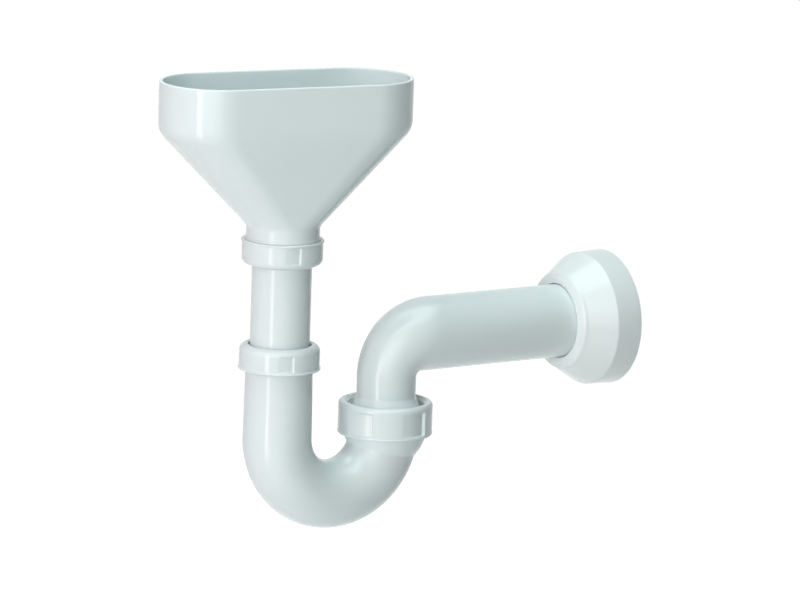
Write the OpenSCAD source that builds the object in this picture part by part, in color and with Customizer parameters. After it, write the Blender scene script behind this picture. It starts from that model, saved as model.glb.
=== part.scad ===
// Drip water trap: an oval catch funnel over a U-bend trap with a growing outlet bend.
// The outlet pipe runs along +X into the wall, +Z is up, and the origin is the point
// where the axis of the outlet pipe meets the face of the wall.

/* [Funnel] */
// Length of the oval mouth, over its round ends
funnel_len = 175; // [140:1:220]
// Width of the oval mouth
funnel_wid = 76; // [60:1:100]
// Turn of the oval mouth about the upright axis, from the line of the outlet
funnel_turn = -9; // [-45:1:45]
// Height of the upright band below the rim
band_h = 33.5; // [20:0.5:60]
// Height of the sloping part between the band and the neck
cone_h = 64; // [50:0.5:90]
// Reach of the blend above and below the shoulder
shoulder = 5; // [2:0.5:9]
// Wall of the funnel
funnel_wall = 2.5; // [1.8:0.1:3.5]
// Height of the plain neck above its stop collar
neck_h = 7.8; // [3:0.1:12]

/* [Inlet tube] */
// Outside diameter of the inlet tube
tube_d = 40; // [36:0.5:42]
// Wall of the inlet tube
tube_wall = 2; // [1.6:0.1:2.6]
// Length of tube that shows between the two small nuts
tube_run = 53.7; // [30:0.1:90]
// Depth that the tube reaches into the inlet limb
tube_dip = 43.4; // [25:0.1:54]

/* [Trap bend] */
// Wall of the bend
bend_wall = 2.15; // [1.8:0.05:3]
// Radius of the bend's centre line
bend_r = 42.5; // [38:0.5:55]
// Height of the inlet limb above the centre of the bend
limb_h = 58.9; // [56:0.1:90]
// How much the limb's radius grows from its thread down to the half circle
limb_draft = 0.6; // [0:0.1:1.2]
// How far the round cup at the outlet end stands out past the limb
cup_reach = 5.7; // [5:0.1:8]
// Wall of the cup
cup_wall = 2.6; // [2:0.1:3.2]

/* [Screwed joints] */
// How far the thread of a small joint stands out past the limb
thread_step = 1.1; // [0.9:0.1:2]
// Room between a thread and its nut
thread_clear = 0.25; // [0.15:0.05:0.4]
// Height of a small nut
nut_h = 17; // [15:0.5:26]
// Wall of a small nut
nut_wall = 3.1; // [2.6:0.1:4]
// Height of the outlet nut
big_nut_h = 22; // [20:0.5:30]
// Wall of the outlet nut
big_nut_wall = 3.4; // [2.8:0.1:4.2]
// How far the lip at a small nut's open end stands out
lip_out = 0.7; // [0.3:0.1:1.2]
// How far the outlet nut's lip stands out
big_lip_out = 0.3; // [0.1:0.1:1.2]
// Height of these lips
lip_h = 1.6; // [1:0.1:4]
// Depth of the grip recesses of a small nut
grip_depth = 1.1; // [0.5:0.1:1.8]
// Depth of the grip recesses of the outlet nut
big_grip_depth = 1.8; // [0.8:0.1:2.2]
// Bevel round the outlet nut's hole
big_bevel = 2.3; // [0.5:0.1:2.6]
// Thickness of the washers and slip ring
washer_t = 2; // [1.5:0.1:3]

/* [Outlet bend] */
// Outside diameter of the upright leg
leg_d = 40; // [38:0.5:42]
// Wall of the outlet bend
pipe_wall = 2.6; // [2:0.1:3.2]
// Outside diameter of the outlet pipe
pipe_d = 50; // [46:0.5:52]
// Radius of the outer sweep's centre line
sweep_r = 31; // [28:0.5:36]
// Straight length of the leg between its flared foot and the elbow
leg_len = 6.3; // [2:0.1:60]
// Distance from the upright leg's axis to the wall
wall_gap = 176; // [140:1:260]
// Length of spigot that goes into the wall, past its face
spigot_out = 12; // [6:1:40]

/* [Wall rosette] */
// Diameter of the rosette at the wall
rosette_d = 92.6; // [80:0.2:120]
// Depth of the rosette, from the wall to its front
rosette_depth = 39.5; // [34:0.5:50]
// Depth of its upright edge
rosette_edge = 18.5; // [12:0.5:22]
// Width of the rounded nose
rosette_nose_w = 6; // [3:0.5:9]
// Depth of the rounded nose
rosette_nose = 4; // [2:0.5:8]
// Wall of the rosette
rosette_wall = 2; // [1.4:0.1:2.6]
// Room between the rosette and the pipe
rosette_clear = 0.6; // [0.2:0.05:0.9]

/* [Hidden] */

$fn = 96;
// Sides of the blended surfaces, which are drawn as facets
blend_sides = 48;
// How much a faceted skin is drawn over size, so that its flats clear the round it meets
facet_skin = 1.0035;
// Rings along the elbow
elbow_rings = 12;
// How far a cut or a joined form runs past the face it meets
past = 1;
// Room between two pieces that rest on each other
rest_gap = 0.05;

plastic = "#dfe8e8";
plastic_bright = "#eef1f1";
rubber = "#3a3d3d";

// Part of the wall by which the inner face of a slope is moved along the axis
slope_share = 0.4;

tube_r = tube_d / 2;
tube_bore = tube_r - tube_wall;
pipe_r = pipe_d / 2;
pipe_bore = pipe_r - pipe_wall;
leg_r = leg_d / 2;
leg_bore = leg_r - pipe_wall;
// Chamfer at the ends that are pushed into a joint
tip_len = 1.5;
tip_taper = 0.8;

// The tube slides in the limb, and the threads and the cup are built out from the limb
bore_clear = 0.35;
bend_bore = tube_r + bore_clear;
limb_r = bend_bore + bend_wall;
thread_r = limb_r + thread_step;
cup_r = limb_r + cup_reach;
cup_bore = cup_r - cup_wall;

// Small nuts: rounded shoulder, plain part above the grips, flange and its room round the tube
nut_round = 4.6;
grip_top = 3.6;
nut_flange = 2.2;
flange_clear = 1.1;
small_nut_bore = thread_r + thread_clear;
small_nut_r = small_nut_bore + nut_wall;

// Outlet nut: its hole is smaller than its bore by the flange that holds the leg's foot
big_nut_round = 2.6;
big_flange = 4.6;
big_flange_in = 2.8;
big_nut_bore = cup_r + thread_clear;
big_nut_hole = big_nut_bore - big_flange_in;
big_nut_r = big_nut_bore + big_nut_wall;

// Elbow: the inside corner of the moulding is nearly sharp
corner_r = 1.6;
corner_x = leg_r + corner_r;
corner_drop = pipe_r + corner_r;
elbow_lap = 3;
elbow_end = max(sweep_r, corner_x, corner_drop) + elbow_lap;

// Foot of the leg: a skirt in the nut's hole, a flange under it and a pilot in the cup
skirt_h = 7.6;
skirt_clear = 1.85;
skirt_r = big_nut_hole - skirt_clear;
skirt_ease = [0.5, 1.2];
skirt_edge = 0.4;
foot_flange_t = 3.2;
foot_inset = 0.4;
foot_r = cup_r - foot_inset;
pilot_clear = 0.8;
pilot_r = cup_bore - pilot_clear;
pilot_depth = 5.5;
leg_taper = 3;

// Outlet joint, from the elbow down: foot, nut, and the flat seal on the cup's rim
foot_top = -(elbow_end + leg_len + skirt_h);
foot_bottom = foot_top - foot_flange_t;
cup_rim = foot_bottom - washer_t;
outlet_nut_top = foot_top + big_flange;
outlet_nut_bottom = outlet_nut_top - big_nut_h;
seal_lap = 0.4;
seal_inset = 0.1;

// Upright axes of the outlet leg and of the inlet limb. The nut hides the ball's upper part
nut_drop = 4.3;
bend_z = outlet_nut_bottom + nut_drop;
leg_x = -wall_gap;
limb_x = leg_x - 2 * bend_r;
limb_top = bend_z + limb_h;

// Tube joint: the tapered seal stands out of the mouth, under a slip ring and the nut's flange
seal_depth = 4.2;
seal_out = 1.2;
slip_t = 1.6;
slip_clear = 0.3;
seat_clear = 0.2;
seat_r = thread_r - seat_clear;
mouth_step = 0.3;
mouth_rim = 1;
mouth_foot_r = bend_bore + mouth_step;
mouth_top_r = thread_r - mouth_rim;
mouth_slope = (mouth_top_r - mouth_foot_r) / seal_depth;
seal_gap = 0.1;
seal_tip = 0.3;
seal_brim = 0.4;
tube_nut_top = limb_top + seal_out + slip_t + nut_flange;
tube_nut_bottom = tube_nut_top - nut_h;
boss_gap = 2;
boss_h = nut_h - nut_flange - slip_t - seal_out - boss_gap;

// Funnel joint: the tube's collar hangs in the nut, with a washer between it and the funnel
funnel_nut_bottom = tube_nut_top + tube_run;
funnel_nut_top = funnel_nut_bottom + nut_h;
collar_t = 2.6;
collar_top = funnel_nut_bottom + nut_flange + collar_t;
washer_inset = 0.5;
spigot_foot = collar_top + washer_t;
spigot_wall = 2.6;
neck_bore = thread_r - spigot_wall;
neck_step = 0.8;
neck_r = thread_r + neck_step;
stop_collar_h = 1.4;
stop_collar_out = 1.7;
stop_collar_r = thread_r + stop_collar_out;
stop_z = funnel_nut_top + rest_gap;
neck_top = stop_z + stop_collar_h + neck_h;
corner_z = neck_top + cone_h;
rim_z = corner_z + band_h;

// Mark on the outlet pipe that shows how far to push it in
mark_x = -28;
mark_w = 1.5;
mark_depth = 0.4;

// Rosette: the upright edge narrows a little towards the front, which ends in a flat ring
edge_draft = 0.9;
rosette_flat = 2.6;

// Grip recesses: start and width of one recess, in degrees, and how many go round
grip_start = 8;
ledge = 0.4;
// Shares of the lip's height between which it stands out in full
lip_crest = [0.25, 0.6];
grip_count = 4;
grip_w = 20;
big_grip_count = 5;
big_grip_w = 33;
funnel_nut_turn = -123;
tube_nut_turn = -129;
big_nut_turn = -107.5;

function mix(a, b, t) = a + (b - a) * t;
function unit_ease(t) = t * t * (3 - 2 * t);

// A ring of the funnel: height, half length and half width. t runs over the shoulder's blend.
function shoulder_z(t) =
    corner_z + shoulder * ((1 - t) * (1 - t) - t * t);
function drawn_in(half, neck, t) =
    half - t * t * shoulder * (half - neck) / cone_h;

// Outer and inner edge of the elbow's cross section at t, from the leg (0) to the pipe (1),
// as [x, z] from the point where the leg's axis meets the pipe's axis
function elbow_outer(t, grow) = let (a = 90 * t, r = sweep_r + mix(leg_r, pipe_r, t) - grow)
    [sweep_r - r * cos(a), -sweep_r + r * sin(a)];
function elbow_inner(t, grow) = let (a = 90 * t, r = corner_r + grow)
    [corner_x - r * cos(a), -corner_drop + r * sin(a)];
function elbow_half_w(t, grow) = mix(leg_r, pipe_r, unit_ease(t)) - grow;
function oval_ring(mid, half, half_w) = [for (k = [0:blend_sides - 1])
    let (a = 360 * k / blend_sides)
    [mid.x + half.x * cos(a), half_w * sin(a), mid.y + half.y * cos(a)]];
function elbow_ring(t, grow, skin) = let (
    o = elbow_outer(t, grow),
    i = elbow_inner(t, grow)
) oval_ring((o + i) / 2, skin * (i - o) / 2, skin * elbow_half_w(t, grow));
// All the rings of the elbow, with a flat one at each end that laps the round parts
function elbow_rings_all(grow, skin, lap) = concat(
    [oval_ring([0, -elbow_end - lap], [skin * (leg_r - grow), 0], skin * (leg_r - grow))],
    [for (j = [0:elbow_rings]) elbow_ring(j / elbow_rings, grow, skin)],
    [oval_ring([elbow_end + lap, 0], [0, -skin * (pipe_r - grow)], skin * (pipe_r - grow))]
);

// Skin through a list of rings with equal point counts, closed at both ends
module loft(rings) {
    n = len(rings[0]);
    m = len(rings);
    polyhedron(
        points = [for (ring = rings) each ring],
        faces = concat(
            [[for (k = [0:n - 1]) k]],
            [for (j = [0:m - 2], k = [0:n - 1]) let (k2 = (k + 1) % n)
                [j * n + k, (j + 1) * n + k2, j * n + k2]],
            [for (j = [0:m - 2], k = [0:n - 1]) let (k2 = (k + 1) % n)
                [j * n + k, (j + 1) * n + k, (j + 1) * n + k2]],
            [[for (k = [n - 1:-1:0]) (m - 1) * n + k]]
        )
    );
}

// Points of an oval with round ends, at one height
function mouth_ring(half_l, half_w, z) = [for (side = [0, 1], k = [0:blend_sides / 2])
    let (a = 180 * side - 90 + 360 * k / blend_sides)
    [(1 - 2 * side) * (half_l - half_w) + half_w * cos(a), half_w * sin(a), z]];

module funnel_form(inset, top, neck, neck_z, lift) {
    half_l = funnel_len / 2 - inset;
    half_w = funnel_wid / 2 - inset;
    hull() loft(concat(
        [mouth_ring(neck, neck, neck_z)],
        [for (t = [1:-0.25:0])
            mouth_ring(drawn_in(half_l, neck, t), drawn_in(half_w, neck, t), shoulder_z(t) + lift)],
        [mouth_ring(half_l, half_w, top)]
    ));
}

module funnel() {
    color(plastic) translate([limb_x, 0, 0]) difference() {
        union() {
            rotate(funnel_turn) funnel_form(0, rim_z, facet_skin * neck_r, neck_top, 0);
            translate([0, 0, stop_z]) cylinder(r = neck_r, h = neck_top - stop_z + past);
            translate([0, 0, stop_z]) cylinder(r = stop_collar_r, h = stop_collar_h);
            translate([0, 0, spigot_foot]) cylinder(r = thread_r, h = stop_z - spigot_foot + past);
        }
        rotate(funnel_turn) funnel_form(funnel_wall, rim_z + past, facet_skin * neck_bore,
            neck_top, slope_share * funnel_wall);
        translate([0, 0, spigot_foot - past])
            cylinder(r = neck_bore, h = neck_top - spigot_foot + 2 * past);
    }
}

// Section of a nut's shell, from its closed end (top) to its open end, in the r-z plane
module nut_section(hole, bore, out, h, flange, round_r, lip, bevel) {
    difference() {
        union() {
            translate([0, round_r]) square([out, h - round_r - lip_h]);
            square([out - round_r, h - lip_h]);
            translate([out - round_r, round_r]) circle(r = round_r);
            translate([0, h - lip_h]) polygon([
                [0, 0], [out, 0], [out + lip, lip_crest[0] * lip_h],
                [out + lip, lip_crest[1] * lip_h], [out, lip_h], [0, lip_h]
            ]);
        }
        translate([-past, -past]) square([hole + past, h + 2 * past]);
        polygon([
            [0, -past], [hole + bevel + past, -past], [hole - past, bevel + past], [0, bevel + past]
        ]);
        translate([-past, flange]) square([bore + past, h]);
    }
}

// One recess of a grip: it sinks along the turn and ends in a step
module grip_cut(out, turn_w, depth) {
    reach = 1.3 * out;
    difference() {
        polygon([[0, 0], [reach, 0], reach * [cos(turn_w), sin(turn_w)]]);
        translate([0, -depth / sin(turn_w)]) circle(r = out);
    }
}

// A union nut with its closed end at the top and z = 0 at its open end
module union_nut(hole, bore, out, h, flange, round_r, lip, bevel, count, turn_w, depth) {
    difference() {
        translate([0, 0, h]) mirror([0, 0, 1])
            rotate_extrude() nut_section(hole, bore, out, h, flange, round_r, lip, bevel);
        for (k = [0:count - 1]) rotate(grip_start + 360 * k / count)
            translate([0, 0, lip_h + ledge]) linear_extrude(h - lip_h - ledge - grip_top)
                grip_cut(out, turn_w, depth);
    }
}

module small_nut() {
    union_nut(tube_r + flange_clear, small_nut_bore, small_nut_r, nut_h, nut_flange,
        nut_round, lip_out, 0, grip_count, grip_w, grip_depth);
}

module funnel_nut() {
    // This nut stands the other way up, with its open end to the funnel
    color(plastic) translate([limb_x, 0, funnel_nut_top]) mirror([0, 0, 1])
        rotate(funnel_nut_turn) small_nut();
}

module tube_nut() {
    color(plastic) translate([limb_x, 0, tube_nut_bottom]) rotate(tube_nut_turn) small_nut();
}

module ring(inner, outer, h) {
    difference() {
        cylinder(r = outer, h = h);
        translate([0, 0, -past]) cylinder(r = inner, h = h + 2 * past);
    }
}

module funnel_washer() {
    color(rubber) translate([limb_x, 0, collar_top + rest_gap])
        ring(tube_bore + washer_inset, seat_r, washer_t - 2 * rest_gap);
}

module inlet_tube() {
    foot = limb_top - tube_dip;
    color(plastic) translate([limb_x, 0, 0]) difference() {
        union() {
            translate([0, 0, foot + tip_len]) cylinder(r = tube_r, h = collar_top - foot - tip_len);
            translate([0, 0, foot]) cylinder(r1 = tube_r - tip_taper, r2 = tube_r, h = tip_len);
            translate([0, 0, collar_top - collar_t + rest_gap])
                cylinder(r = seat_r, h = collar_t - rest_gap);
        }
        translate([0, 0, foot - past]) cylinder(r = tube_bore, h = collar_top - foot + 2 * past);
    }
}

module tube_slip_ring() {
    color(plastic_bright) translate([limb_x, 0, limb_top + seal_out + rest_gap])
        ring(tube_r + slip_clear, seat_r, slip_t - 2 * rest_gap);
}

module tube_seal() {
    color(rubber) translate([limb_x, 0, limb_top]) rotate_extrude() polygon([
        [tube_r + rest_gap, seal_tip - seal_depth], [mouth_foot_r - seal_gap, seal_tip - seal_depth],
        [mouth_top_r - seal_gap, seal_gap], [mouth_top_r + seal_brim, seal_gap],
        [mouth_top_r + seal_brim, seal_out], [tube_r + rest_gap, seal_out]
    ]);
}

// The bend's solid core at a given tube radius: inlet limb, wider at its foot, and half circle
module bend_core(r, top, draft) {
    translate([limb_x, 0, bend_z]) cylinder(r1 = r + draft, r2 = r, h = top - bend_z);
    translate([limb_x + bend_r, 0, bend_z]) rotate([90, 0, 0])
        rotate_extrude(angle = 180, start = 180) translate([bend_r, 0]) circle(r = r + draft);
}

// The cup at the outlet end: half a ball under a short cylinder
module cup_form(r, top) {
    translate([leg_x, 0, bend_z]) rotate_extrude() {
        intersection() {
            circle(r = r);
            translate([0, -r - past]) square([r + past, r + past]);
        }
        square([r, top - bend_z]);
    }
}

module u_bend() {
    color(plastic) difference() {
        union() {
            bend_core(limb_r, limb_top - boss_h / 2, limb_draft);
            translate([limb_x, 0, limb_top - boss_h]) cylinder(r = thread_r, h = boss_h);
            cup_form(cup_r, cup_rim);
        }
        bend_core(bend_bore, limb_top + past, 0);
        cup_form(cup_bore, cup_rim + past);
        translate([limb_x, 0, limb_top - seal_depth]) cylinder(
            r1 = mouth_foot_r, r2 = mouth_top_r + mouth_slope * past, h = seal_depth + past
        );
    }
}

module outlet_seal() {
    color(rubber) translate([leg_x, 0, cup_rim + rest_gap])
        ring(pilot_r + seal_lap, cup_r - seal_inset, washer_t - 2 * rest_gap);
}

module outlet_nut() {
    color(plastic) translate([leg_x, 0, outlet_nut_bottom]) rotate(big_nut_turn)
        union_nut(big_nut_hole, big_nut_bore, big_nut_r, big_nut_h, big_flange,
            big_nut_round, big_lip_out, big_bevel, big_grip_count, big_grip_w, big_grip_depth);
}

// The upright leg: the clamped flange with a pilot below it and a skirt above, up to the elbow
module leg_section() {
    skirt_top = foot_top + skirt_h;
    leg_top = -elbow_end + past;
    polygon([
        [leg_bore, leg_top], [leg_r, leg_top], [leg_r, skirt_top],
        [leg_r + skirt_ease.x, skirt_top - skirt_ease.y],
        [skirt_r - skirt_edge, foot_top + skirt_edge], [skirt_r, foot_top - rest_gap],
        [foot_r, foot_top - rest_gap], [foot_r, foot_bottom], [pilot_r, foot_bottom],
        [pilot_r, foot_bottom - pilot_depth], [pilot_r - pipe_wall, foot_bottom - pilot_depth],
        [pilot_r - pipe_wall, foot_bottom], [leg_bore, foot_top + leg_taper]
    ]);
}

module outlet_bend() {
    tip = wall_gap + spigot_out;
    color(plastic) translate([leg_x, 0, 0]) difference() {
        union() {
            loft(elbow_rings_all(0, facet_skin, 0));
            rotate_extrude() leg_section();
            translate([elbow_end - past, 0, 0]) rotate([0, 90, 0])
                cylinder(r = pipe_r, h = tip - tip_len - elbow_end + past);
            translate([tip - tip_len, 0, 0]) rotate([0, 90, 0])
                cylinder(r1 = pipe_r, r2 = pipe_r - tip_taper, h = tip_len);
        }
        loft(elbow_rings_all(pipe_wall + rest_gap, 1, past));
        translate([elbow_end, 0, 0]) rotate([0, 90, 0]) cylinder(r = pipe_bore, h = tip);
        translate([wall_gap + mark_x - mark_w, 0, 0]) rotate([0, 90, 0])
            ring(pipe_r - mark_depth, pipe_r + past, mark_w);
    }
}

module rosette() {
    r = rosette_d / 2;
    edge_r = r - edge_draft;
    hole = pipe_r + rosette_clear;
    flat_r = hole + rosette_flat;
    nose_r = flat_r + rosette_nose_w;
    nose_z = rosette_depth - rosette_nose;
    inner_z = rosette_depth - rosette_wall;
    lift = slope_share * rosette_wall;
    nose = [for (a = [90:-15:0])
        [flat_r + rosette_nose_w * cos(a), nose_z + rosette_nose * sin(a)]];
    color(plastic_bright) rotate([0, -90, 0]) rotate_extrude() polygon(concat(
        [[hole, rosette_depth]], nose, [
            [edge_r, rosette_edge], [r, 0], [r - rosette_wall, 0],
            [edge_r - rosette_wall, rosette_edge - lift], [nose_r - rosette_wall, nose_z - lift],
            [flat_r, inner_z], [hole, inner_z]
        ]
    ));
}

funnel();
funnel_nut();
funnel_washer();
inlet_tube();
tube_nut();
tube_slip_ring();
tube_seal();
u_bend();
outlet_seal();
outlet_nut();
outlet_bend();
rosette();
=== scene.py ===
"""Dresses the drip water trap: moulded plastic pieces, rubber seals, and a pale studio."""

import math

import bmesh
import bpy
from bpy.props import FloatProperty, FloatVectorProperty, IntProperty, PointerProperty
from mathutils import Matrix, Vector


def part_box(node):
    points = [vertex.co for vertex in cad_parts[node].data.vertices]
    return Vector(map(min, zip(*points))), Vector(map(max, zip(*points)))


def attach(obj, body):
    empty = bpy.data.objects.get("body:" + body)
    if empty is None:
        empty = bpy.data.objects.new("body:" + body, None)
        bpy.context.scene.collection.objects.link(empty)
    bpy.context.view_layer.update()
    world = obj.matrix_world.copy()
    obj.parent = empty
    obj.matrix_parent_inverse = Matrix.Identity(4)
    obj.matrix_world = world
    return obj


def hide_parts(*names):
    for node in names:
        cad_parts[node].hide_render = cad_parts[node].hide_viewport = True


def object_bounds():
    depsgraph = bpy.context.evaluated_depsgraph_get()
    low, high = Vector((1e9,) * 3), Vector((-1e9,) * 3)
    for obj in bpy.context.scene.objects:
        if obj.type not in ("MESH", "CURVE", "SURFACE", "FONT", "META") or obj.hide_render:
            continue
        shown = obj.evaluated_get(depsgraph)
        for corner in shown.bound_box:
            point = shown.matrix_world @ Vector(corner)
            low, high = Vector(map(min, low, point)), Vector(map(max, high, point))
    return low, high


bl_info = {
    "name": "Drip Water Trap",
    "version": (1, 0, 0),
    "blender": (4, 5, 0),
    "location": "View3D > Sidebar > Trap",
    "description": "Builds the pieces of a drip water trap and a studio around it",
    "category": "Add Mesh",
}

MM = 0.001
CLEARANCE = 0.05 * MM  # the room left between two pieces that touch

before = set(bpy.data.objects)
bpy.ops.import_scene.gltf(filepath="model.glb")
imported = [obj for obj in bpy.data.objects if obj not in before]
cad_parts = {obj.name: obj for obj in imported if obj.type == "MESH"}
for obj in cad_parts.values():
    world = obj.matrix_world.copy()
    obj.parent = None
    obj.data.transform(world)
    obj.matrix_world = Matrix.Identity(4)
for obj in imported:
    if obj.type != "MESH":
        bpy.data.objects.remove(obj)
cad_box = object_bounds()


def linear(hex_colour):
    """The linear colour of an sRGB hex value such as e6eeec."""
    parts = [int(hex_colour[i : i + 2], 16) / 255 for i in (0, 2, 4)]
    return tuple(v / 12.92 if v <= 0.04045 else ((v + 0.055) / 1.055) ** 2.4 for v in parts)


def low(node):
    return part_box(node)[0]


def high(node):
    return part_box(node)[1]


def middle_x(node):
    return (low(node).x + high(node).x) / 2


def reach_y(node):
    return (high(node).y - low(node).y) / 2


LIMB_X = middle_x("tube_seal")
LEG_X = middle_x("outlet_seal")


def length(name, about, default_mm, soft_max_mm=400.0):
    """A length in metres, given in millimetres."""
    return FloatProperty(
        name=name,
        description=about,
        default=default_mm * MM,
        min=0.0,
        soft_max=soft_max_mm * MM,
        precision=4,
        unit="LENGTH",
    )


def angle(name, about, degrees):
    """An angle in radians, given in degrees."""
    return FloatProperty(name=name, description=about, default=math.radians(degrees), subtype="ANGLE")


def power(name, about, watts):
    return FloatProperty(name=name, description=about, default=watts, min=0.0, unit="POWER")


def colour(name, about, hex_colour):
    """A linear colour, given as an sRGB hex value."""
    return FloatVectorProperty(
        name=name,
        description=about,
        default=linear(hex_colour),
        min=0.0,
        max=1.0,
        size=3,
        subtype="COLOR",
    )


class FunnelSizes(bpy.types.PropertyGroup):
    """The catch funnel."""

    mouth_length: length("Mouth length", "Length of the oval mouth", 175)
    mouth_width: length("Mouth width", "Width of the oval mouth", 76)
    turn: angle("Turn", "Turn of the mouth about the upright axis", -9)
    wall: length("Wall", "Thickness of the funnel", 2.5)
    band: length("Band", "Height of the upright band", 33.5)
    slope: length("Slope", "Height of the sloping part", 64)
    shoulder: length("Shoulder", "Reach of the blend between the band and the slope", 5)
    neck_radius: length("Neck radius", "Outside radius of the neck", 24.4)
    bore_radius: length("Bore radius", "Inside radius of the neck", 21)
    spigot_radius: length("Spigot radius", "Radius over the thread", 23.6)
    collar_radius: length("Collar radius", "Radius of the stop collar", 25.3)
    collar_height: length("Collar height", "Height of the stop collar", 1.4)
    edge: length("Edge", "Rounding of the rim", 0.7)


class NutSizes(bpy.types.PropertyGroup):
    """The union nuts."""

    flange: length("Flange", "Thickness of a small nut's closed end", 2.2)
    big_flange: length("Outlet flange", "Thickness of the outlet nut's closed end", 4.6)
    lip: length("Lip", "How far the lip at a small nut's open end stands out", 0.7)
    big_lip: length("Outlet lip", "How far the lip at the outlet nut's open end stands out", 0.3)
    lip_height: length("Lip height", "Height of the lip", 1.6)
    shoulder: length("Shoulder", "Rounding of a small nut's closed end", 4.6)
    big_shoulder: length("Outlet shoulder", "Rounding of the outlet nut's closed end", 2.6)
    wall: length("Wall", "Wall of a small nut", 3.1)
    big_wall: length("Outlet wall", "Wall of the outlet nut", 3.4)
    hole: length("Hole", "Radius of the hole in a small nut", 21.1)
    big_hole: length("Outlet hole", "Radius of the hole in the outlet nut", 25.65)
    bevel: length("Bevel", "Bevel round a small nut's hole", 0.5)
    big_bevel: length("Outlet bevel", "Bevel round the outlet nut's hole", 2.3)
    grip: length("Grip depth", "Depth of a small nut's grip recesses", 1.1)
    big_grip: length("Outlet grip depth", "Depth of the outlet nut's grip recesses", 1.8)
    recess: angle("Recess", "How far round a small nut each recess reaches", 20)
    big_recess: angle("Outlet recess", "How far round the outlet nut each recess reaches", 33)
    step: length("Step", "Width of the step that ends a small nut's recess", 0.7)
    big_step: length("Outlet step", "Width of the step that ends the outlet nut's recess", 1.1)
    plain: length("Plain top", "Height left plain above the recesses", 3.6)
    grips: IntProperty(name="Grips", description="Recesses round a small nut", default=4, min=2)
    big_grips: IntProperty(name="Outlet grips", description="Recesses round the outlet nut", default=5, min=2)
    funnel_turn: angle("Funnel nut turn", "Where the funnel nut's first recess starts", -115)
    tube_turn: angle("Tube nut turn", "Where the tube nut's first recess starts", -121)
    outlet_turn: angle("Outlet nut turn", "Where the outlet nut's first recess starts", -99.5)


class PipeSizes(bpy.types.PropertyGroup):
    """The tube, the trap bend and the outlet bend."""

    tube_radius: length("Tube radius", "Outside radius of the inlet tube", 20)
    tube_wall: length("Tube wall", "Wall of the inlet tube", 2)
    tube_collar: length("Tube collar", "Height of the collar at the tube's top", 2.55)
    bend_radius: length("Bend radius", "Radius of the bend's centre line", 42.5)
    bend_bore: length("Bend bore", "Inside radius of the trap bend", 20.35)
    limb_radius: length("Limb radius", "Outside radius of the limb below its boss", 22.5)
    boss_height: length("Boss height", "Height of the threaded boss on the limb", 10)
    draft: length("Draft", "How much the limb's radius grows down to the bend", 0.6)
    cup_radius: length("Cup radius", "Outside radius of the cup", 28.2)
    cup_bore: length("Cup bore", "Inside radius of the cup", 25.6)
    blend: length("Blend", "Fillet between the cup and the bend", 0.5)
    leg_radius: length("Leg radius", "Outside radius of the upright leg", 20)
    pipe_radius: length("Pipe radius", "Outside radius of the outlet pipe", 25)
    pipe_wall: length("Pipe wall", "Wall of the outlet bend", 2.6)
    sweep: length("Sweep", "Radius of the elbow's outer sweep", 31)
    corner: length("Corner", "Rounding of the elbow's inside corner", 1.6)
    pilot_radius: length("Pilot radius", "Outside radius of the pilot in the cup", 24.8)
    pilot_depth: length("Pilot depth", "Depth of the pilot below the flange", 5.5)
    flange_height: length("Flange height", "Height of the clamped flange", 3.15)
    skirt: length("Skirt", "Height of the flare above the flange", 7.6)
    mark: length("Mark", "From the wall to the push-in mark on the pipe", 28)


class RosetteSizes(bpy.types.PropertyGroup):
    """The wall rosette."""

    edge_depth: length("Edge depth", "Depth of the upright edge", 18.5)
    draft: length("Draft", "How much the upright edge narrows", 0.9)
    nose_radius: length("Nose radius", "Radius where the cone meets the nose", 34.2)
    nose_depth: length("Nose depth", "Depth of the rounded nose", 4)
    wall: length("Wall", "Wall of the rosette", 2)
    room: length("Room", "Room between the rosette and the pipe", 0.6)


class Finishes(bpy.types.PropertyGroup):
    """The colours of the materials."""

    polypropylene: colour("Polypropylene", "Colour of the moulded plastic", "e6ecee")
    bright: colour("Bright polypropylene", "Colour of the whiter moulding", "ecf0f1")
    rubber: colour("Rubber", "Colour of the seals", "2b2d2e")


class Studio(bpy.types.PropertyGroup):
    """The camera, the lamps and the floor."""

    azimuth: angle("Azimuth", "Where the camera stands", -33)
    elevation: angle("Elevation", "How high the camera looks from", 11.3)
    roll: angle("Roll", "Lean of the camera", 1.9)
    distance: length("Distance", "From the camera to its target", 3700, 9000)
    scale: FloatProperty(
        name="Scale", description="Pixels per millimetre at the target, in a picture 800 wide", default=1.490
    )
    target_x: FloatProperty(
        name="Target X",
        description="From the leg to the target",
        default=8.8 * MM,
        unit="LENGTH",
        precision=4,
    )
    target_z: FloatProperty(
        name="Target Z", description="Height of the target", default=25.2 * MM, unit="LENGTH", precision=4
    )
    key: power("Key", "Power of the broad key lamp", 14.8)
    strip: power("Strip", "Power of the narrow lamp", 4.4)
    top: power("Top", "Power of the lamp overhead", 21.0)
    front: power("Front", "Power of the soft front lamp", 10.6)
    under: power("Under", "Power of the low card", 1.0)
    fill: FloatProperty(name="Fill", description="Strength of the world's plain light", default=0.02, min=0.0)
    floor: colour("Floor", "Colour of the painted floor", "e7e7e7")
    floor_drop: length("Floor drop", "From the trap's lowest point to the floor", 600, 2000)


# Outlines and skins


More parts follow.
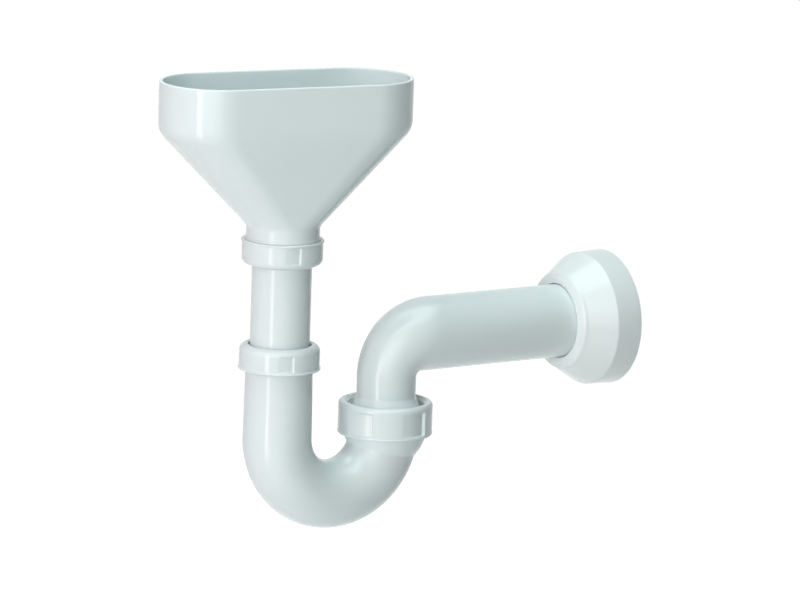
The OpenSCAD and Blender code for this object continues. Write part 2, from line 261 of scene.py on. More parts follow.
def rounded(corners, steps=5, share=0.49):
    """A closed outline from (across, up, radius) corners, each rounded by an arc. An arc takes up
    no more than its share of the edges beside it."""
    nearly_straight = math.radians(179)
    out = []
    count = len(corners)
    for i, (px, py, radius) in enumerate(corners):
        here = Vector((px, py))
        before = Vector(corners[i - 1][:2]) - here
        after = Vector(corners[(i + 1) % count][:2]) - here
        opening = before.angle(after)
        if radius <= 0 or opening > nearly_straight:
            out.append((px, py))
            continue
        reach = min(radius / math.tan(opening / 2), share * before.length, share * after.length)
        radius = reach * math.tan(opening / 2)
        before, after = before.normalized(), after.normalized()
        start, end = here + before * reach, here + after * reach
        middle = here + (before + after).normalized() * radius / math.sin(opening / 2)
        a, b = start - middle, end - middle
        for k in range(steps + 1):
            t = k / steps
            spoke = (a * (1 - t) + b * t).normalized() * radius
            out.append(tuple(middle + spoke))
    return out


def ring(centre, across, side, count):
    """A closed ring of points about centre, from its two half axes."""
    turns = [math.tau * k / count for k in range(count)]
    return [centre + across * math.cos(t) + side * math.sin(t) for t in turns]


def level_rings(centre_x, outline, count, sign=1):
    """Level rings about an upright axis, from an outline of (radius, height)."""
    side = Vector((0, 1, 0))
    return [ring(Vector((centre_x, 0, z)), Vector((sign * r, 0, 0)), side * r, count) for r, z in outline]


def skin(name, rings, crease=35.0):
    """A closed mesh through rings of equal counts, the last joined to the first. An edge that bends
    more than the crease, in degrees, stays sharp."""
    mesh = bpy.data.meshes.new(name)
    count = len(rings[0])
    faces = []
    for i in range(len(rings)):
        j = (i + 1) % len(rings)
        for k in range(count):
            m = (k + 1) % count
            faces.append((i * count + k, i * count + m, j * count + m, j * count + k))
    mesh.from_pydata([p for points in rings for p in points], [], faces)
    return finish_mesh(name, mesh, crease)


def finish_mesh(name, mesh, crease):
    """Cleans the mesh, shades it smooth up to the crease angle, and makes its object."""
    bm = bmesh.new()
    bm.from_mesh(mesh)
    weld = 0.001 * MM
    bmesh.ops.remove_doubles(bm, verts=bm.verts, dist=weld)
    bmesh.ops.dissolve_degenerate(bm, edges=bm.edges, dist=weld)
    bmesh.ops.recalc_face_normals(bm, faces=bm.faces)
    limit = math.radians(crease)
    for face in bm.faces:
        face.smooth = True
    for edge in bm.edges:
        edge.smooth = not edge.is_manifold or edge.calc_face_angle(0.0) < limit
    bm.to_mesh(mesh)
    bm.free()
    obj = bpy.data.objects.new(name, mesh)
    bpy.context.scene.collection.objects.link(obj)
    return obj


def lathe(name, outline, centre, axis=(0, 0, 1), count=128):
    """Turns a closed outline of (radius, along) about an axis through centre."""
    axis = Vector(axis)
    across = Vector((1, 0, 0)) if abs(axis.z) > 0.5 else Vector((0, 0, 1))
    side = axis.cross(across)
    centre = Vector(centre)
    return skin(name, [ring(centre + axis * z, across * r, side * r, count) for r, z in outline])


def ease(t):
    t = min(1.0, max(0.0, t))
    return t * t * (3 - 2 * t)


# Materials

# The colour sockets of a Mix node share their names with others, so they go by number
MIX_A, MIX_B, MIX_RESULT = 6, 7, 2


def add(tree, kind, settings=None, links=None):
    """Adds a node, with its settings by property name or by input name or number, and its inputs
    linked."""
    node = tree.nodes.new(kind)
    for name, value in (settings or {}).items():
        if isinstance(name, int) or name in node.inputs:
            node.inputs[name].default_value = value
        else:
            setattr(node, name, value)
    for name, (source, output) in (links or {}).items():
        tree.links.new(source.outputs[output], node.inputs[name])
    return node


def new_material(name):
    """The material of that name and None, or where there is none yet, a new one and its empty tree."""
    found = bpy.data.materials.get(name)
    if found:
        return found, None
    material = bpy.data.materials.new(name)
    material.use_nodes = True
    material.node_tree.nodes.clear()
    return material, material.node_tree


def moulded_plastic(name, colour_value, tint):
    """Injection-moulded polypropylene: a waxy, faintly see-through white with a satin skin,
    a little uneven in gloss and colour where the melt flowed, over the fine grain of the mould."""
    material, tree = new_material(name)
    if tree is None:
        return material
    coords = add(tree, "ShaderNodeTexCoord")
    flow = add(
        tree,
        "ShaderNodeTexNoise",
        {"Scale": 1 / (28 * MM), "Detail": 1.0, "Roughness": 0.5},
        {"Vector": (coords, "Object")},
    )
    tinted = (*[v * t for v, t in zip(colour_value, tint)], 1)
    shade = add(
        tree,
        "ShaderNodeMix",
        {"data_type": "RGBA", MIX_A: (*colour_value, 1), MIX_B: tinted},
        {"Factor": (flow, "Fac")},
    )
    gloss = add(
        tree,
        "ShaderNodeMapRange",
        {"From Min": 0.3, "From Max": 0.7, "To Min": 0.15, "To Max": 0.2},
        {"Value": (flow, "Fac")},
    )
    # The real grain is too fine to show, so it is drawn 1.6 mm coarse
    grain = add(
        tree,
        "ShaderNodeTexNoise",
        {"Scale": 1 / (1.6 * MM), "Detail": 2.0, "Roughness": 0.5},
        {"Vector": (coords, "Object")},
    )
    bump = add(
        tree,
        "ShaderNodeBump",
        {"Strength": 0.08, "Distance": 0.02 * MM},
        {"Height": (grain, "Fac")},
    )
    surface = add(
        tree,
        "ShaderNodeBsdfPrincipled",
        {
            "IOR": 1.49,
            "Subsurface Weight": 0.12,
            "Subsurface Scale": 2.5 * MM,
            "Subsurface Radius": (0.8, 1.0, 0.95),
        },
        {"Base Color": (shade, MIX_RESULT), "Roughness": (gloss, "Result"), "Normal": (bump, "Normal")},
    )
    add(tree, "ShaderNodeOutputMaterial", None, {"Surface": (surface, "BSDF")})
    return material


def moulded_rubber(name, colour_value):
    """EPDM rubber: matt, near black, with the faint bloom of a moulded seal."""
    material, tree = new_material(name)
    if tree is None:
        return material
    coords = add(tree, "ShaderNodeTexCoord")
    bloom = add(
        tree, "ShaderNodeTexNoise", {"Scale": 1 / (3 * MM), "Detail": 3.0}, {"Vector": (coords, "Object")}
    )
    bloomed = (*[1.5 * v for v in colour_value], 1)
    shade = add(
        tree,
        "ShaderNodeMix",
        {"data_type": "RGBA", MIX_A: (*colour_value, 1), MIX_B: bloomed},
        {"Factor": (bloom, "Fac")},
    )
    bump = add(tree, "ShaderNodeBump", {"Strength": 0.3, "Distance": 0.03 * MM}, {"Height": (bloom, "Fac")})
    surface = add(
        tree,
        "ShaderNodeBsdfPrincipled",
        {"IOR": 1.5, "Roughness": 0.62},
        {"Base Color": (shade, MIX_RESULT), "Normal": (bump, "Normal")},
    )
    add(tree, "ShaderNodeOutputMaterial", None, {"Surface": (surface, "BSDF")})
    return material


def white_plastic(scene):
    return moulded_plastic("moulded_polypropylene", scene.trap_finishes.polypropylene, (0.985, 0.995, 0.99))


def bright_plastic(scene):
    return moulded_plastic("moulded_polypropylene_bright", scene.trap_finishes.bright, (0.99, 0.995, 0.995))


def seal_rubber(scene):
    return moulded_rubber("moulded_epdm_rubber", scene.trap_finishes.rubber)


SLOT_MATERIALS = {
    "white_plastic": white_plastic,
    "bright_plastic": bright_plastic,
    "seal_rubber": seal_rubber,
}


# Pieces


def place(scene, piece, node, slot):
    """Gives a finished piece its slot's material and puts it in place of its CAD node."""
    piece.data.materials.append(SLOT_MATERIALS[slot](scene))
    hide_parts(node)
    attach(piece, "root")


def oval(half_long, half_wide, z, count):
    """Points of an oval with round ends, evenly spaced round it."""
    straight = half_long - half_wide
    quarter = math.pi * half_wide / 2 + straight
    points = []
    for k in range(count):
        along = 4 * quarter * k / count
        turn, rest = divmod(along, 2 * quarter)
        sign = -1 if turn else 1
        arc = math.pi * half_wide / 2
        if rest <= arc:
            a = rest / half_wide
            p = (straight + half_wide * math.cos(a), half_wide * math.sin(a))
        elif rest <= arc + 2 * straight:
            p = (straight - (rest - arc), half_wide)
        else:
            a = math.pi / 2 + (rest - arc - 2 * straight) / half_wide
            p = (-straight + half_wide * math.cos(a), half_wide * math.sin(a))
        points.append(Vector((sign * p[0], sign * p[1], z)))
    return points


def funnel_skin(sizes, inset):
    """Levels of the funnel's skin as (half length, half width, height), from the rim down to the neck."""
    band_steps, corner_steps, slope_steps, foot_steps = 8, 12, 24, 6
    rim = high("funnel").z
    corner = rim - sizes.band
    foot = corner - sizes.slope
    long_half, wide_half = sizes.mouth_length / 2 - inset, sizes.mouth_width / 2 - inset
    neck = sizes.bore_radius if inset else sizes.neck_radius
    shoulder, blend = sizes.shoulder, (1.5 if inset else 2.4) * MM
    # The inner corner lies higher, so that the slope at the ends is as thick as the band
    lift = 0.4 * inset

    def drawn(half, t):
        return half - t * t * shoulder * (half - neck) / sizes.slope

    levels = []
    for k in range(band_steps + 1):
        levels.append((long_half, wide_half, rim + (corner + lift + shoulder - rim) * k / band_steps))
    for k in range(1, corner_steps):
        t = k / corner_steps
        z = corner + lift + shoulder * ((1 - t) ** 2 - t * t)
        levels.append((drawn(long_half, t), drawn(wide_half, t), z))
    start = (drawn(long_half, 1), drawn(wide_half, 1), corner + lift - shoulder)
    end, below = (neck, neck, foot), (neck, neck, foot - blend)
    stop_t = 1 - blend / (start[2] - foot)
    for k in range(slope_steps + 1):
        t = stop_t * k / slope_steps
        levels.append(tuple(a + (b - a) * t for a, b in zip(start, end)))
    last = levels[-1]
    for k in range(1, foot_steps + 1):
        t = k / foot_steps
        curve = zip(last, end, below)
        levels.append(tuple((1 - t) ** 2 * a + 2 * t * (1 - t) * b + t * t * c for a, b, c in curve))
    return levels


def make_funnel(scene):
    sizes = scene.trap_funnel
    count, edge_steps = 224, 6
    edge, wall = sizes.edge, sizes.wall
    rim = high("funnel").z
    stop = high("funnel_nut").z + CLEARANCE
    bottom = low("funnel").z
    neck, collar = sizes.neck_radius, sizes.collar_radius
    spigot, bore = sizes.spigot_radius, sizes.bore_radius
    collar_top = stop + sizes.collar_height
    foot_top = collar_top + 2 * MM
    outer, inner = ([v for v in funnel_skin(sizes, inset) if v[2] < rim - edge] for inset in (0, wall))
    long_half, wide_half = sizes.mouth_length / 2, sizes.mouth_width / 2
    over = []
    for k in range(edge_steps + 1):
        a = math.pi / 2 * k / edge_steps
        over.append((edge - edge * math.cos(a), edge * math.sin(a)))
    rim_out = [(long_half - x, wide_half - x, rim - edge + y) for x, y in over]
    rim_in = [(long_half - wall + x, wide_half - wall + x, rim - edge + y) for x, y in reversed(over)]
    foot = rounded(
        [
            (neck, foot_top, 0),
            (neck, collar_top, 0.25 * MM),
            (collar, collar_top, 0.2 * MM),
            (collar, stop, 0.3 * MM),
            (spigot, stop, 0.2 * MM),
            (spigot, bottom, 0.5 * MM),
            (bore, bottom, 0.4 * MM),
            (bore, foot_top, 0),
        ],
        4,
    )
    levels = rim_out[::-1] + outer + [(r, r, z) for r, z in foot] + inner[::-1] + rim_in[::-1]
    turn = Matrix.Rotation(sizes.turn, 4, "Z")
    move = Vector((LIMB_X, 0, 0))
    rings = [[turn @ p + move for p in oval(a, b, z, count)] for a, b, z in levels]
    place(scene, skin("catch_funnel", rings), "funnel", "white_plastic")


def grip_angles(count, start, width, step):
    """Angles round a nut, close together where a recess begins and at its step."""
    recess_steps, plain_steps = 15, 24
    near_begin = (-0.6, 0, 0.6)
    near_step = (-1.2, -0.8, -0.5, -0.25, 0, 0.25, 0.5, 0.75, 1.0, 1.3, 1.8)
    angles = []
    pitch = math.tau / count
    rest = pitch - width - 3 * step
    for k in range(count):
        begin = start + k * pitch
        end = begin + width
        angles += [begin + step * f for f in near_begin]
        angles += [begin + width * i / recess_steps for i in range(1, recess_steps)]
        angles += [end + step * f for f in near_step]
        angles += [end + 2 * step + rest * i / plain_steps for i in range(plain_steps)]
    return sorted(angles)


def grip_depth(turn, count, start, width, depth, out, step):
    """How deep a nut's recess is at a turn: a ramp that ends in a step."""
    pitch = math.tau / count
    a = (turn - start) % pitch
    if a > pitch - 2 * step:
        a -= pitch
    shift = depth / math.sin(width)
    at = min(max(a, 0.0), width)
    sunk = out + shift * math.sin(at) - math.sqrt(out**2 - (shift * math.cos(at)) ** 2)
    rise_in = ease((a + 0.6 * step) / (1.2 * step))
    step_out = 1 - ease((a - width + 0.3 * step) / (1.1 * step))
    return sunk * rise_in * step_out


def make_nut(scene, name, node, first, opens_up=False, big=False):
    """A union nut: a round shell with a lip at its open end and stepped recesses for the hand. Its
    first recess starts at the angle first."""
    sizes = scene.trap_nuts

    def size(of):
        return getattr(sizes, f"big_{of}" if big else of)

    lip, wall, flange, depth = size("lip"), size("wall"), size("flange"), size("grip")
    hole, bevel = size("hole"), size("bevel")
    count, width = size("grips"), size("recess")
    out = reach_y(node) - lip
    bore = out - wall
    step = size("step") / out
    # Heights run from 0 at the open end. The recesses sink in over soft and run out over fade.
    height = high(node).z - low(node).z
    lip_top = sizes.lip_height
    ledge, top_of_grip = lip_top + 0.4 * MM, height - sizes.plain
    soft, fade = 0.45 * MM, 1.0 * MM
    heights = [ledge + soft * k / 4 for k in range(5)]
    heights += [ledge + soft + (top_of_grip - ledge - soft - fade) * k / 8 for k in range(1, 8)]
    heights += [top_of_grip - fade + fade * k / 8 for k in range(9)]
    section = rounded(
        [
            (bore, height - flange, 0.3 * MM),
            (bore, 0, 0.4 * MM),
            (out, 0, 0.3 * MM),
            (out + lip, 0.4 * lip_top, 0.4 * MM),
            (out + lip, 0.75 * lip_top, 0.4 * MM),
            (out, lip_top, 0.3 * MM),
            (out, height, size("shoulder")),
            (hole + bevel, height, 0.5 * MM),
            (hole, height - bevel, 0.8 * MM),
            (hole, height - flange, 0.3 * MM),
        ],
        14,
        0.86,
    )
    outline = []
    placed = False
    for r, z in section:
        if not placed and abs(r - out) < 0.001 * MM and z > ledge:
            outline += [(out, h) for h in heights if h < z - 0.05 * MM]
            placed = True
        outline.append((r, z))
    if not placed:
        raise RuntimeError(f"{name}: the recesses found no place on the wall")
    angles = grip_angles(count, first, width, step)
    centre_x = middle_x(node)
    base, sign = (high(node).z, -1) if opens_up else (low(node).z, 1)
    rings = []
    for r, z in outline:
        points = []
        mask = ease((z - ledge) / soft) * ease((top_of_grip - z) / fade) if r > out - wall / 2 else 0.0
        for a in angles:
            radius = r - mask * grip_depth(a, count, first, width, depth, out, step) if mask else r
            points.append(Vector((centre_x + radius * math.cos(a), radius * math.sin(a), base + sign * z)))
        rings.append(points)
    place(scene, skin(name, rings, 50.0), node, "white_plastic")


def make_flat_ring(scene, name, node, inner, slot, edge):
    """A washer or slip ring, with its edges eased."""
    out = reach_y(node)
    bottom, top = low(node).z, high(node).z
    outline = rounded(
        [(inner, bottom, edge), (out, bottom, edge), (out, top, edge), (inner, top, edge)], 4
    )
    place(scene, lathe(name, outline, (middle_x(node), 0, 0)), node, slot)


def make_inlet_tube(scene):
    sizes = scene.trap_pipes
    out, bore = sizes.tube_radius, sizes.tube_radius - sizes.tube_wall
    collar = reach_y("inlet_tube")
    bottom, top = low("inlet_tube").z, high("inlet_tube").z
    outline = rounded(
        [
            (bore, bottom, 0.3 * MM),
            (out - 0.8 * MM, bottom, 0.4 * MM),
            (out, bottom + 1.5 * MM, 0.5 * MM),
            (out, top - sizes.tube_collar, 0.4 * MM),
            (collar, top - sizes.tube_collar, 0.4 * MM),
            (collar, top, 0.4 * MM),
            (bore, top, 0.4 * MM),
        ],
        4,
    )
    piece = lathe("straight_inlet_tube", outline, (LIMB_X, 0, 0), count=144)
    place(scene, piece, "inlet_tube", "white_plastic")


def make_cone_seal(scene):
    """A tapered rubber ring that grips the inlet tube."""
    bottom, top = low("tube_seal").z, high("tube_seal").z
    out = reach_y("tube_seal")
    inner = scene.trap_pipes.tube_radius + CLEARANCE
    outline = rounded(
        [
            (inner, bottom, 0.1 * MM),
            (inner + 0.5 * MM, bottom, 0.2 * MM),
            (out - 0.5 * MM, top - 1.1 * MM, 0.1 * MM),
            (out, top - 1.1 * MM, 0.2 * MM),
            (out, top, 0.3 * MM),
            (inner, top, 0.3 * MM),
        ],
        4,
    )
    place(scene, lathe("tube_cone_seal", outline, (LIMB_X, 0, 0)), "tube_seal", "seal_rubber")


def soft_max(a, b, reach):
    """The larger of two lengths, blended where they are close."""
    gap = max(reach - abs(a - b), 0.0) / reach
    return max(a, b) + gap * gap * reach / 4


def bend_rings(sizes, tube, draft, ball, top, rim, count):
    """Rings along the trap bend from the limb's top to the cup's rim. The limb grows by its draft.
    Each point is as far out as the tube or the cup's ball, whichever is further."""
    limb_steps, arc_steps, cup_steps = 12, 150, 4
    centre_z = low("u_bend").z + sizes.bend_radius + sizes.limb_radius + sizes.draft
    hub = Vector(((LIMB_X + LEG_X) / 2, 0, centre_z))
    ball_centre = Vector((LEG_X, 0, centre_z))
    side = Vector((0, 1, 0))
    limb = []
    for k in range(limb_steps + 1):
        limb.append((tube + draft * k / limb_steps, top + (centre_z - top) * k / limb_steps))
    rings = level_rings(LIMB_X, limb, count, -1)
    for k in range(1, arc_steps):
        a = math.pi * (1 - k / arc_steps)
        out = Vector((math.cos(a), 0, -math.sin(a)))
        centre = hub + out * sizes.bend_radius
        away = centre - ball_centre
        points = []
        for m in range(count):
            t = math.tau * m / count
            ray = out * math.cos(t) + side * math.sin(t)
            along = away.dot(ray)
            inside = max(ball**2 - away.length_squared + along**2, 0.0)
            hit = math.sqrt(inside) - along if away.length < ball else 0.0
            points.append(centre + ray * soft_max(tube + draft, hit, sizes.blend))
        rings.append(points)
    cup = [(ball, centre_z + (rim - centre_z) * k / cup_steps) for k in range(cup_steps + 1)]
    return rings + level_rings(LEG_X, cup, count)


def make_trap_bend(scene):
    sizes = scene.trap_pipes
    count = 128
    top = high("u_bend").z
    rim = low("outlet_seal").z - CLEARANCE
    boss = reach_y("funnel_washer") + 0.2 * MM
    boss_foot = top - sizes.boss_height
    limb = sizes.limb_radius
    below = rim - 0.6 * MM
    outer = bend_rings(sizes, limb, sizes.draft, sizes.cup_radius, boss_foot - 1 * MM, below, count)
    inner = bend_rings(sizes, sizes.bend_bore, 0, sizes.cup_bore, top - 4.2 * MM, below, count)
    mouth = [
        (sizes.bend_bore + 0.3 * MM, top - 4.15 * MM),
        (boss - 1.4 * MM, top - 0.4 * MM),
        (boss - 1.0 * MM, top),
        (boss - 0.5 * MM, top),
        (boss - 0.1 * MM, top - 0.2 * MM),
        (boss, top - 0.6 * MM),
        (boss, boss_foot + 0.4 * MM),
        (boss - 0.1 * MM, boss_foot + 0.1 * MM),
        (boss - 0.4 * MM, boss_foot),
        (limb + 0.2 * MM, boss_foot),
        (limb, boss_foot - 0.3 * MM),
    ]
    cup, cup_bore = sizes.cup_radius, sizes.cup_bore
    lip = [
        (cup, rim - 0.4 * MM),
        (cup - 0.15 * MM, rim - 0.1 * MM),
        (cup - 0.4 * MM, rim),
        (cup_bore + 0.4 * MM, rim),
        (cup_bore + 0.15 * MM, rim - 0.1 * MM),
        (cup_bore, rim - 0.4 * MM),
    ]
    rings = level_rings(LIMB_X, mouth, count, -1) + outer + level_rings(LEG_X, lip, count) + inner[::-1]
    place(scene, skin("trap_bend", rings, 50.0), "u_bend", "white_plastic")


def elbow_ring(sizes, t, inset):
    """The centre, half axis and half width of a ring of the elbow. t runs from the leg (0) to the
    pipe (1)."""
    a = math.pi / 2 * t
    leg, pipe, sweep = sizes.leg_radius, sizes.pipe_radius, sizes.sweep
    far = sweep + leg + (pipe - leg) * t - inset
    near = sizes.corner + inset
    corner_x, corner_z = leg + sizes.corner, -pipe - sizes.corner
    outer = Vector((sweep - far * math.cos(a), 0, -sweep + far * math.sin(a)))
    inner = Vector((corner_x - near * math.cos(a), 0, corner_z + near * math.sin(a)))
    wide = leg + (pipe - leg) * ease(t) - inset
    return (outer + inner) / 2, (inner - outer) / 2, wide


def make_outlet_bend(scene):
    sizes = scene.trap_pipes
    count, elbow_steps, run_steps = 144, 60, 10
    leg, pipe, wall = sizes.leg_radius, sizes.pipe_radius, sizes.pipe_wall
    flange = reach_y("outlet_bend")
    foot_bottom = low("outlet_bend").z + sizes.pilot_depth
    foot_top = foot_bottom + sizes.flange_height
    skirt_top = foot_top + sizes.skirt
    knee = -sizes.sweep - 3 * MM
    tip = high("outlet_bend").x - LEG_X
    mark = -sizes.mark - LEG_X
    pilot = sizes.pilot_radius
    origin = Vector((LEG_X, 0, 0))
    side = Vector((0, 1, 0))
    foot = rounded(
        [
            (leg - wall, knee, 0),
            (leg - wall, foot_top + 3 * MM, 3 * MM),
            (pilot - wall, foot_bottom, 3 * MM),
            (pilot - wall, foot_bottom - sizes.pilot_depth, 0.4 * MM),
            (pilot, foot_bottom - sizes.pilot_depth, 0.6 * MM),
            (pilot, foot_bottom, 0.3 * MM),
            (flange, foot_bottom, 0.4 * MM),
            (flange, foot_top, 0.4 * MM),
            (leg + 3.8 * MM, foot_top, 0.4 * MM),
            (leg + 3.3 * MM, foot_top + 0.8 * MM, 1.0 * MM),
            (leg + 0.6 * MM, skirt_top - 0.8 * MM, 3 * MM),
            (leg, skirt_top + 0.4 * MM, 2 * MM),
            (leg, knee, 0),
        ],
        5,
    )

    def elbow(inset):
        rings = []
        for k in range(elbow_steps + 1):
            centre, half, wide = elbow_ring(sizes, k / elbow_steps, inset)
            rings.append(ring(origin + centre, half, side * wide, count))
        return rings

    def along(stations):
        return [ring(origin + Vector((x, 0, 0)), Vector((0, 0, -r)), side * r, count) for x, r in stations]

    groove = [(mark - 1.6 * MM, pipe), (mark - 1.4 * MM, pipe - 0.4 * MM)]
    groove += [(mark - 0.2 * MM, pipe - 0.4 * MM), (mark, pipe)]
    start = sizes.sweep + 3 * MM
    run = [(start + (mark - 4 * MM - start) * k / run_steps, pipe) for k in range(run_steps + 1)]
    nose = [(tip - 1.6 * MM, pipe), (tip - 1.3 * MM, pipe - 0.1 * MM), (tip - 0.3 * MM, pipe - 0.7 * MM)]
    nose += [(tip, pipe - 1.0 * MM), (tip, pipe - wall + 0.3 * MM), (tip - 0.3 * MM, pipe - wall)]
    back = [(start + (tip - start - 2 * MM) * k / run_steps, pipe - wall) for k in range(run_steps, -1, -1)]
    rings = level_rings(LEG_X, foot, count) + elbow(0) + along(run + groove + nose + back)
    rings += elbow(wall)[::-1]
    place(scene, skin("swept_outlet_bend", rings, 50.0), "outlet_bend", "white_plastic")


def make_rosette(scene):
    sizes = scene.trap_rosette
    out = max(reach_y("rosette"), (high("rosette").z - low("rosette").z) / 2)
    depth = high("rosette").x - low("rosette").x
    wall = sizes.wall
    hole = scene.trap_pipes.pipe_radius + sizes.room
    nose = sizes.nose_radius
    nose_at = depth - sizes.nose_depth
    flat = nose - 1.5 * sizes.nose_depth
    edge = out - sizes.draft
    outline = rounded(
        [
            (out, 0, 0.5 * MM),
            (edge, sizes.edge_depth, 2.6 * MM),
            (nose, nose_at, 2.0 * MM),
            (nose - 1.2 * MM, nose_at + 2.4 * MM, 2.5 * MM),
            (flat + 0.6 * MM, depth, 3.0 * MM),
            (hole, depth, 0.6 * MM),
            (hole, depth - wall, 0.4 * MM),
            (flat, depth - wall, 2 * MM),
            (nose - wall, nose_at - 0.4 * wall, 2 * MM),
            (edge - wall, sizes.edge_depth - 0.4 * wall, 2 * MM),
            (out - wall, 0, 0.4 * MM),
        ],
        8,
    )
    piece = lathe("wall_rosette", outline, (high("rosette").x, 0, 0), axis=(-1, 0, 0), count=180)
    place(scene, piece, "rosette", "bright_plastic")


# Stage


def aim(obj, target, roll=0.0):
    back = (obj.location - target).normalized()
    right = Vector((0, 0, 1)).cross(back).normalized()
    up = back.cross(right)
    lean_right = right * math.cos(roll) + up * math.sin(roll)
    lean_up = up * math.cos(roll) - right * math.sin(roll)
    obj.rotation_euler = Matrix((lean_right, lean_up, back)).transposed().to_euler()


def direction(azimuth, elevation):
    """From the target towards something at that azimuth and elevation."""
    flat = math.cos(elevation)
    return Vector((math.sin(azimuth) * flat, -math.cos(azimuth) * flat, math.sin(elevation)))


def lamp(name, watts, size, where, target, tint):
    data = bpy.data.lights.new(name, "AREA")
    data.energy = watts
    data.shape = "RECTANGLE"
    data.size, data.size_y = size
    data.color = tint
    obj = bpy.data.objects.new(name, data)
    bpy.context.scene.collection.objects.link(obj)
    obj.location = where
    aim(obj, target)


def seen_directly(tree):
    """1 for a ray from the camera and for what gloss or glass shows it, 0 for all other light."""
    path = add(tree, "ShaderNodeLightPath")
    either = add(
        tree,
        "ShaderNodeMath",
        {"operation": "MAXIMUM"},
        {0: (path, "Is Camera Ray"), 1: (path, "Is Glossy Ray")},
    )
    return add(
        tree,
        "ShaderNodeMath",
        {"operation": "MAXIMUM"},
        {0: (either, "Value"), 1: (path, "Is Transmission Ray")},
    )


def floor_material(colour_value):
    """A pale painted floor. It is lifted to white where it is seen, and keeps the shadow."""
    material, tree = new_material("painted_studio_floor")
    if tree is None:
        return material
    paint = add(tree, "ShaderNodeBsdfDiffuse", {"Color": (*colour_value, 1)})
    seen = seen_directly(tree)
    lift = add(tree, "ShaderNodeMath", {"operation": "MULTIPLY", 1: 0.98}, {0: (seen, "Value")})
    glow = add(tree, "ShaderNodeEmission", {"Color": (1, 1, 1, 1)}, {"Strength": (lift, "Value")})
    both = add(tree, "ShaderNodeAddShader", None, {0: (paint, "BSDF"), 1: (glow, "Emission")})
    add(tree, "ShaderNodeOutputMaterial", None, {"Surface": (both, "Shader")})
    return material


def studio_world(fill):
    """A plain low light from all sides, and white where the world is seen."""
    world = bpy.data.worlds.new("studio_world")
    bpy.context.scene.world = world
    world.use_nodes = True
    tree = world.node_tree
    tree.nodes.clear()
    light = add(tree, "ShaderNodeBackground", {"Color": (0.85, 1, 0.98, 1), "Strength": fill})
    white = add(tree, "ShaderNodeBackground", {"Color": (1, 1, 1, 1), "Strength": 1.0})
    both = add(
        tree,
        "ShaderNodeMixShader",
        None,
        {0: (seen_directly(tree), "Value"), 1: (light, "Background"), 2: (white, "Background")},
    )
    add(tree, "ShaderNodeOutputWorld", None, {"Surface": (both, "Shader")})


def make_stage(scene):
    settings = scene.trap_studio
    picture_width, floor_half = 800, 30.0
    target = Vector((LEG_X + settings.target_x, 0, settings.target_z))
    data = bpy.data.cameras.new("studio_camera")
    camera = bpy.data.objects.new("studio_camera", data)
    scene.collection.objects.link(camera)
    scene.camera = camera
    data.sensor_width = 36
    data.lens = settings.scale * settings.distance / MM * data.sensor_width / picture_width
    data.clip_start, data.clip_end = 0.1, 60
    camera.location = target + direction(settings.azimuth, settings.elevation) * settings.distance
    aim(camera, target, settings.roll)

    mesh = bpy.data.meshes.new("studio_floor")
    corners = [(x * floor_half, y * floor_half, 0) for x, y in ((-1, -1), (1, -1), (1, 1), (-1, 1))]
    mesh.from_pydata(corners, [], [(0, 1, 2, 3)])
    floor = bpy.data.objects.new("studio_floor", mesh)
    scene.collection.objects.link(floor)
    floor.location.z = cad_box[0].z - settings.floor_drop
    mesh.materials.append(floor_material(settings.floor))

    # A broad key and a low narrow strip, both a little warm, and cool light in the shadows. Upright
    # walls mirror what lies as far below the level as the camera is above it, so the strip is there.
    # Each row: name, power, size, azimuth from the camera's, elevation, distance, tint
    warm, cool = (1, 0.89, 0.895), (0.82, 1, 0.97)
    lamps = (
        ("key_lamp", settings.key, (2.2, 1.8), -36, 28, 1.7, warm),
        ("strip_lamp", settings.strip, (0.22, 1.1), -34, -8, 1.65, warm),
        ("top_lamp", settings.top, (1.6, 1.6), 0, 85, 1.6, cool),
        ("front_lamp", settings.front, (1.4, 1.4), -10, 12, 1.9, cool),
        ("low_card", settings.under, (1.0, 0.8), -15, -42, 0.95, cool),
    )
    for name, watts, size, azimuth, elevation, away, tint in lamps:
        way = direction(settings.azimuth + math.radians(azimuth), math.radians(elevation))
        lamp(name, watts, size, target + way * away, target, tint)
    studio_world(settings.fill)
    scene.view_settings.view_transform = "Standard"


class TRAP_OT_funnel(bpy.types.Operator):
    """Makes the oval catch funnel"""

    bl_idname = "trap.funnel"
    bl_label = "Catch Funnel"

    def execute(self, context):
        make_funnel(context.scene)
        return {"FINISHED"}


class TRAP_OT_nuts(bpy.types.Operator):
    """Makes the three union nuts"""

    bl_idname = "trap.nuts"
    bl_label = "Union Nuts"

    def execute(self, context):
        scene = context.scene
        nuts = scene.trap_nuts
        make_nut(scene, "funnel_union_nut", "funnel_nut", nuts.funnel_turn, opens_up=True)
        make_nut(scene, "tube_union_nut", "tube_nut", nuts.tube_turn)
        make_nut(scene, "outlet_union_nut", "outlet_nut", nuts.outlet_turn, big=True)
        return {"FINISHED"}


class TRAP_OT_inlet_tube(bpy.types.Operator):
    """Makes the straight inlet tube"""

    bl_idname = "trap.inlet_tube"
    bl_label = "Inlet Tube"

    def execute(self, context):
        make_inlet_tube(context.scene)
        return {"FINISHED"}


class TRAP_OT_trap_bend(bpy.types.Operator):
    """Makes the U-bend with its boss and cup"""

    bl_idname = "trap.trap_bend"
    bl_label = "Trap Bend"

    def execute(self, context):
        make_trap_bend(context.scene)
        return {"FINISHED"}


class TRAP_OT_outlet_bend(bpy.types.Operator):
    """Makes the outlet bend from its foot to the wall"""

    bl_idname = "trap.outlet_bend"
    bl_label = "Outlet Bend"

    def execute(self, context):
        make_outlet_bend(context.scene)
        return {"FINISHED"}


class TRAP_OT_rosette(bpy.types.Operator):
    """Makes the wall rosette"""

    bl_idname = "trap.rosette"
    bl_label = "Wall Rosette"

    def execute(self, context):
        make_rosette(context.scene)
        return {"FINISHED"}


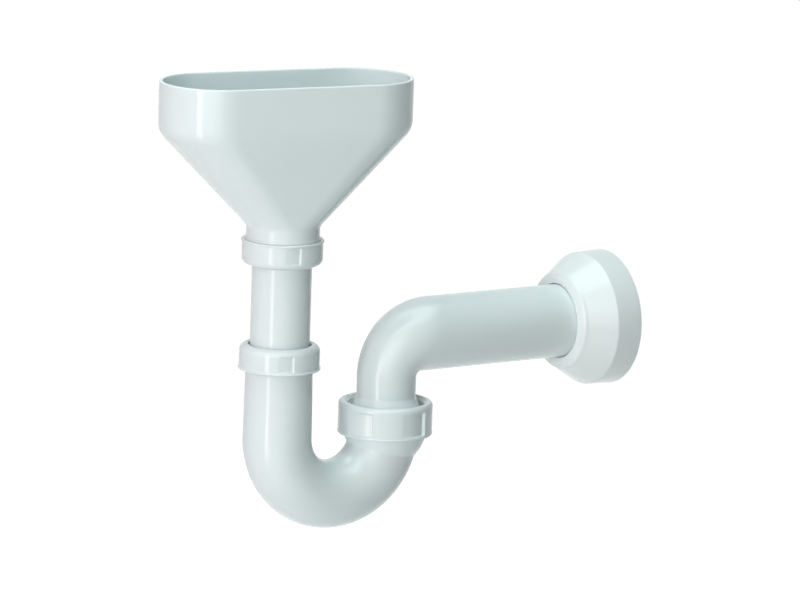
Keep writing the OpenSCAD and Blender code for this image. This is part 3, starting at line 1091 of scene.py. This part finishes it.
class TRAP_OT_seals(bpy.types.Operator):
    """Makes the washers, the slip ring and the cone seal"""

    bl_idname = "trap.seals"
    bl_label = "Seals"

    def execute(self, context):
        scene = context.scene
        pipes = scene.trap_pipes
        tube_bore = pipes.tube_radius - pipes.tube_wall
        rings = (
            ("funnel_flat_washer", "funnel_washer", tube_bore + 0.5 * MM, "seal_rubber", 0.3 * MM),
            ("outlet_flat_seal", "outlet_seal", pipes.pilot_radius + 0.4 * MM, "seal_rubber", 0.3 * MM),
            ("tube_slip_washer", "tube_slip_ring", pipes.tube_radius + 0.3 * MM, "bright_plastic", 0.2 * MM),
        )
        for name, node, inner, slot, edge in rings:
            make_flat_ring(scene, name, node, inner, slot, edge)
        make_cone_seal(scene)
        return {"FINISHED"}


class TRAP_OT_stage(bpy.types.Operator):
    """Makes the camera, the lamps and the floor"""

    bl_idname = "trap.stage"
    bl_label = "Studio"

    def execute(self, context):
        make_stage(context.scene)
        return {"FINISHED"}


class TRAP_PT_sidebar(bpy.types.Panel):
    """Lists the trap's pieces and their sizes"""

    bl_label = "Drip Water Trap"
    bl_idname = "TRAP_PT_sidebar"
    bl_space_type = "VIEW_3D"
    bl_region_type = "UI"
    bl_category = "Trap"

    def draw(self, context):
        for kind in OPERATORS:
            self.layout.operator(kind.bl_idname)
        for group_name in GROUPS:
            group = getattr(context.scene, group_name)
            box = self.layout.box()
            box.label(text=group.bl_rna.name)
            for prop in group.bl_rna.properties:
                if prop.identifier not in {"rna_type", "name"}:
                    box.prop(group, prop.identifier)


GROUPS = {
    "trap_funnel": FunnelSizes,
    "trap_nuts": NutSizes,
    "trap_pipes": PipeSizes,
    "trap_rosette": RosetteSizes,
    "trap_finishes": Finishes,
    "trap_studio": Studio,
}
OPERATORS = (
    TRAP_OT_funnel,
    TRAP_OT_nuts,
    TRAP_OT_inlet_tube,
    TRAP_OT_trap_bend,
    TRAP_OT_outlet_bend,
    TRAP_OT_rosette,
    TRAP_OT_seals,
    TRAP_OT_stage,
)


def register():
    for kind in (*GROUPS.values(), *OPERATORS, TRAP_PT_sidebar):
        bpy.utils.register_class(kind)
    for name, kind in GROUPS.items():
        setattr(bpy.types.Scene, name, PointerProperty(type=kind))


def unregister():
    for name in GROUPS:
        delattr(bpy.types.Scene, name)
    for kind in reversed((*GROUPS.values(), *OPERATORS, TRAP_PT_sidebar)):
        bpy.utils.unregister_class(kind)


def main():
    register()
    bpy.ops.trap.funnel()
    bpy.ops.trap.nuts()
    bpy.ops.trap.inlet_tube()
    bpy.ops.trap.trap_bend()
    bpy.ops.trap.outlet_bend()
    bpy.ops.trap.rosette()
    bpy.ops.trap.seals()
    bpy.ops.trap.stage()


if __name__ == "__main__":
    main()
